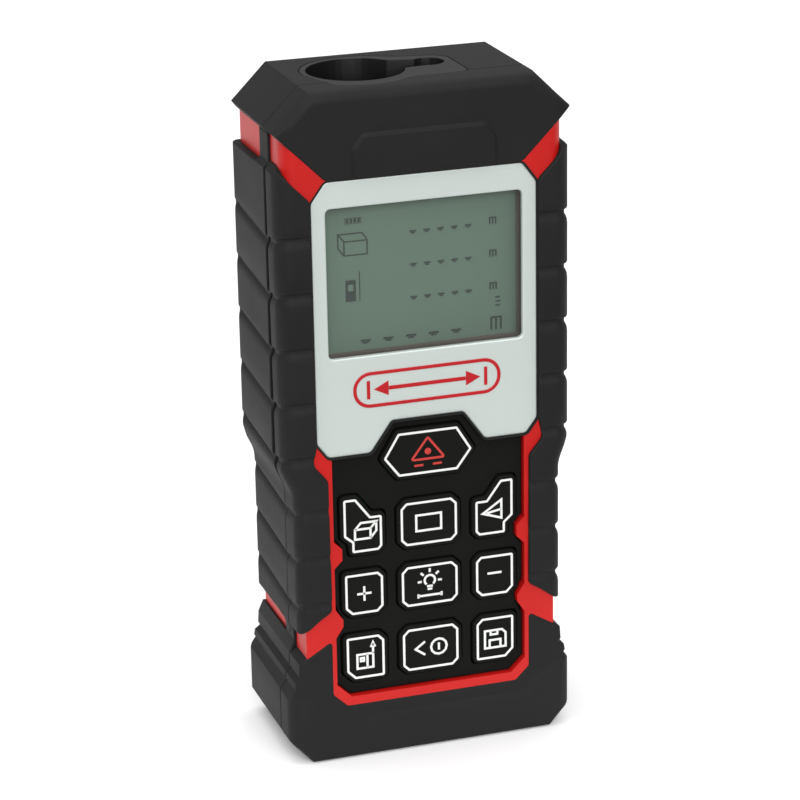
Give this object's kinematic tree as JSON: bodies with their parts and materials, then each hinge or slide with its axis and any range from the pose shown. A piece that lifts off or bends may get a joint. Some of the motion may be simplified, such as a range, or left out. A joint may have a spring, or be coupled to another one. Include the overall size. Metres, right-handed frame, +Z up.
{
  "type": "laser distance meter",
  "caption": "Hand-held laser distance meter: two overmoulded half shells, display with bezel, rubber keypad, keyhole optics mouth on top and a hinged-out battery door on the back.",
  "frame": {"origin": "middle of the base, which is also the rear measuring reference; half the depth lies to each side", "axes": "+Z up along the height towards the optics; -Y out of the display and keypad; +X to the right as seen by the user"},
  "size_m": [0.054, 0.028, 0.124],
  "materials": {
    "red_shell": "satin moulded ABS",
    "black_rubber": "soft-touch, fine grain",
    "silver_bezel": "satin silver paint",
    "clear_window": "polished",
    "gasket_foam": "matt",
    "lcd_face": "grey-green reflective",
    "white_diffuser": "frosted",
    "silicone_strip": "matt",
    "keypad_silicone": "matt silicone",
    "board_green": "solder mask",
    "gold_contact": "plated",
    "chip_black": "matt",
    "gloss_cover": "gloss black",
    "cast_alloy": "as cast",
    "coated_glass": "anti-reflection coated",
    "brass": "turned",
    "flex_film": "polyimide film",
    "cell_sleeve": "plain sleeve",
    "nickel_steel": "nickel plated",
    "screw_steel": "dark zinc",
    "door_black": "fine spark texture"
  },
  "bodies": {
    "meter": {"front_housing": "red_shell", "rear_housing": "red_shell", "front_top_cap": "black_rubber", "front_grip_left": "black_rubber", "front_grip_right": "black_rubber", "front_bumper": "black_rubber", "rear_top_cap": "black_rubber", "rear_grip_left": "black_rubber", "rear_grip_right": "black_rubber", "rear_bumper": "black_rubber", "display_bezel": "silver_bezel", "display_window": "clear_window", "window_gasket": "gasket_foam", "lcd_panel": "lcd_face", "lcd_frame": "gasket_foam", "backlight": "white_diffuser", "lcd_connector": "silicone_strip", "keypad_sheet": "keypad_silicone", "main_board": "board_green", "contact_pads": "gold_contact", "board_chips": "chip_black", "optics_cover": "gloss_cover", "optics_chassis": "cast_alloy", "receiver_lens": "coated_glass", "lens_ring": "chip_black", "laser_window": "coated_glass", "collimator_lens": "coated_glass", "laser_module": "brass", "receiver_board": "board_green", "receiver_sensor": "gold_contact", "optics_flex": "flex_film", "buzzer": "chip_black", "battery_left": "cell_sleeve", "battery_right": "cell_sleeve", "battery_springs": "nickel_steel", "battery_plates": "nickel_steel", "door_seal": "gasket_foam", "housing_screws": "screw_steel", "screw_inserts": "brass", "board_screws": "screw_steel", "tripod_bush": "brass"},
    "battery_door": {"battery_door": "door_black"},
    "key_measure": {"key_measure": "keypad_silicone"},
    "key_volume": {"key_volume": "keypad_silicone"},
    "key_area": {"key_area": "keypad_silicone"},
    "key_pythagoras": {"key_pythagoras": "keypad_silicone"},
    "key_plus": {"key_plus": "keypad_silicone"},
    "key_light": {"key_light": "keypad_silicone"},
    "key_minus": {"key_minus": "keypad_silicone"},
    "key_reference": {"key_reference": "keypad_silicone"},
    "key_clear": {"key_clear": "keypad_silicone"},
    "key_storage": {"key_storage": "keypad_silicone"}
  },
  "joints": [
    {"name": "battery_door_open", "type": "hinge", "parent": "meter", "child": "battery_door", "pos_m": [0, 0.0133, 0.01], "axis": [-1, 0, 0], "range_deg": [0, 75]},
    {"name": "key_measure_press", "type": "slide", "parent": "meter", "child": "key_measure", "axis": [0, 1, 0], "range_m": [0, 0.0006], "stiffness_N_per_m": 1500},
    {"name": "key_volume_press", "type": "slide", "parent": "meter", "child": "key_volume", "axis": [0, 1, 0], "range_m": [0, 0.0006], "stiffness_N_per_m": 1500},
    {"name": "key_area_press", "type": "slide", "parent": "meter", "child": "key_area", "axis": [0, 1, 0], "range_m": [0, 0.0006], "stiffness_N_per_m": 1500},
    {"name": "key_pythagoras_press", "type": "slide", "parent": "meter", "child": "key_pythagoras", "axis": [0, 1, 0], "range_m": [0, 0.0006], "stiffness_N_per_m": 1500},
    {"name": "key_plus_press", "type": "slide", "parent": "meter", "child": "key_plus", "axis": [0, 1, 0], "range_m": [0, 0.0006], "stiffness_N_per_m": 1500},
    {"name": "key_light_press", "type": "slide", "parent": "meter", "child": "key_light", "axis": [0, 1, 0], "range_m": [0, 0.0006], "stiffness_N_per_m": 1500},
    {"name": "key_minus_press", "type": "slide", "parent": "meter", "child": "key_minus", "axis": [0, 1, 0], "range_m": [0, 0.0006], "stiffness_N_per_m": 1500},
    {"name": "key_reference_press", "type": "slide", "parent": "meter", "child": "key_reference", "axis": [0, 1, 0], "range_m": [0, 0.0006], "stiffness_N_per_m": 1500},
    {"name": "key_clear_press", "type": "slide", "parent": "meter", "child": "key_clear", "axis": [0, 1, 0], "range_m": [0, 0.0006], "stiffness_N_per_m": 1500},
    {"name": "key_storage_press", "type": "slide", "parent": "meter", "child": "key_storage", "axis": [0, 1, 0], "range_m": [0, 0.0006], "stiffness_N_per_m": 1500}
  ]
}
